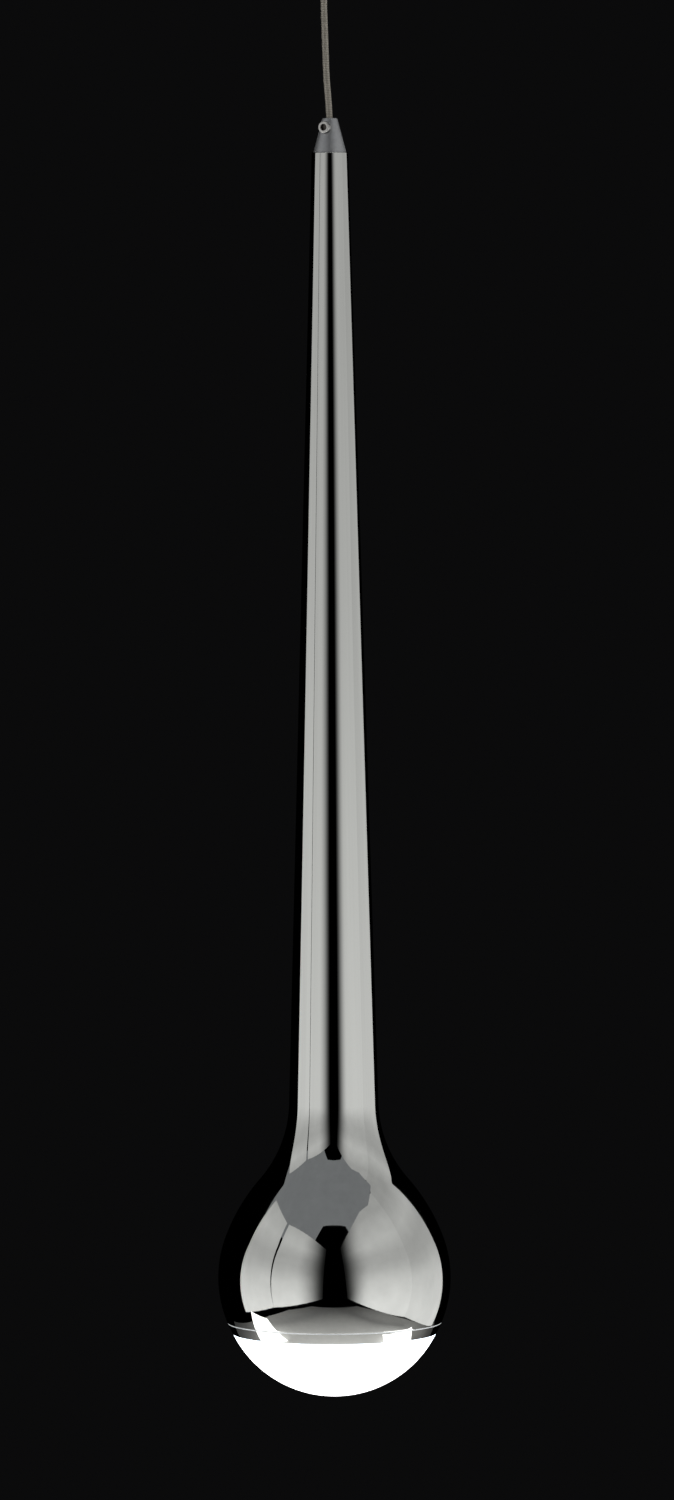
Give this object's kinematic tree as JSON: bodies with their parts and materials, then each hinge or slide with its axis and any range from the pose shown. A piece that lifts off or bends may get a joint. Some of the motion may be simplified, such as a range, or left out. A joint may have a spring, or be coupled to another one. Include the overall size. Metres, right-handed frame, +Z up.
{
  "type": "pendant lamp",
  "caption": "Slender teardrop pendant lamp: a polished neck flowing into a ball with a glowing opal dome below, hung on a thin cord from a round ceiling canopy.",
  "frame": {"origin": "centre of the bracket face that lies on the ceiling", "axes": "+Z up, out of the ceiling face; the lamp hangs along -Z; -Y is the front, where the cord cap's clamp screw is near"},
  "size_m": [0.1094, 0.1092, 0.707],
  "materials": {
    "chrome": "mirror-polished chrome plate",
    "satin_metal": "satin",
    "screw_steel": "polished",
    "zinc_steel": "zinc plated",
    "brass": "plain",
    "aluminium": "machined",
    "cord_jacket": "woven metal braid under a clear sleeve",
    "lead_jacket": "plain",
    "white_plastic": "fine matt",
    "board": "white solder mask",
    "green_board": "green solder mask",
    "winding": "yellow tape",
    "capacitor": "sleeve",
    "foam": "foam tape",
    "silicone": "matt",
    "thermal": "matt",
    "led": "phosphor",
    "opal": "opal, lit from inside"
  },
  "bodies": {
    "ceiling_fitting": {"ceiling_bracket": "zinc_steel", "canopy_cover": "chrome", "canopy_screws": "screw_steel", "canopy_bush": "chrome", "bush_nut": "zinc_steel", "driver_tape": "foam", "driver_case": "white_plastic", "driver_lid": "white_plastic", "driver_board": "green_board", "driver_transformer": "winding", "driver_capacitors": "capacitor", "terminal_block": "white_plastic", "terminal_screws": "zinc_steel", "earth_screw": "brass", "driver_leads": "lead_jacket", "cord_tail_leads": "lead_jacket"},
    "stop": {"cord_stop": "zinc_steel", "cord_in_stop": "cord_jacket"},
    "hanging_cord": {"cord": "cord_jacket"},
    "lamp": {"cord_cap": "satin_metal", "body_shell": "chrome", "neck_plug": "brass", "mounting_ring": "aluminium", "heat_sink": "aluminium", "heat_sink_screws": "zinc_steel", "thermal_pad": "thermal", "led_board": "board", "board_screws": "zinc_steel", "leds": "led", "board_connector": "white_plastic", "reflector": "white_plastic", "lead_grommet": "silicone", "cord_in_neck": "cord_jacket", "board_leads": "lead_jacket"},
    "clamp_tip": {"clamp_pad": "brass"},
    "clamp_knob": {"clamp_screw": "screw_steel"},
    "light_cover": {"diffuser": "opal", "gasket": "silicone"},
    "cover_ring": {"trim_ring": "chrome"}
  },
  "joints": [
    {"name": "cord_twist", "type": "hinge", "parent": "ceiling_fitting", "child": "stop", "pos_m": [0, 0, -0.025], "axis": [0, 0, 1], "range_deg": [-180, 180]},
    {"name": "side_swing", "type": "hinge", "parent": "stop", "child": "hanging_cord", "pos_m": [0, 0, -0.025], "axis": [0, 1, 0], "range_deg": [-25, 25]},
    {"name": "front_swing", "type": "hinge", "parent": "hanging_cord", "child": "lamp", "pos_m": [0, 0, -0.1085], "axis": [1, 0, 0], "range_deg": [-20, 20]},
    {"name": "clamp_travel", "type": "slide", "parent": "lamp", "child": "clamp_tip", "axis": [-0.4226, -0.9063, 0], "range_m": [0, 0.001]},
    {"name": "clamp_turn", "type": "hinge", "parent": "clamp_tip", "child": "clamp_knob", "pos_m": [0, 0, -0.1103], "axis": [-0.4226, -0.9063, 0], "range_deg": [0, 720]},
    {"name": "cover_drop", "type": "slide", "parent": "lamp", "child": "light_cover", "axis": [0, 0, -1], "range_m": [0, 0.003]},
    {"name": "ring_turn", "type": "hinge", "parent": "light_cover", "child": "cover_ring", "pos_m": [0, 0, -0.674], "axis": [0, 0, -1], "range_deg": [0, 720]}
  ],
  "couplings": [
    {"joint": "clamp_turn", "follows": "clamp_travel", "rad_per_m": 12566},
    {"joint": "cover_drop", "follows": "ring_turn", "m_per_rad": 0.00023873}
  ]
}
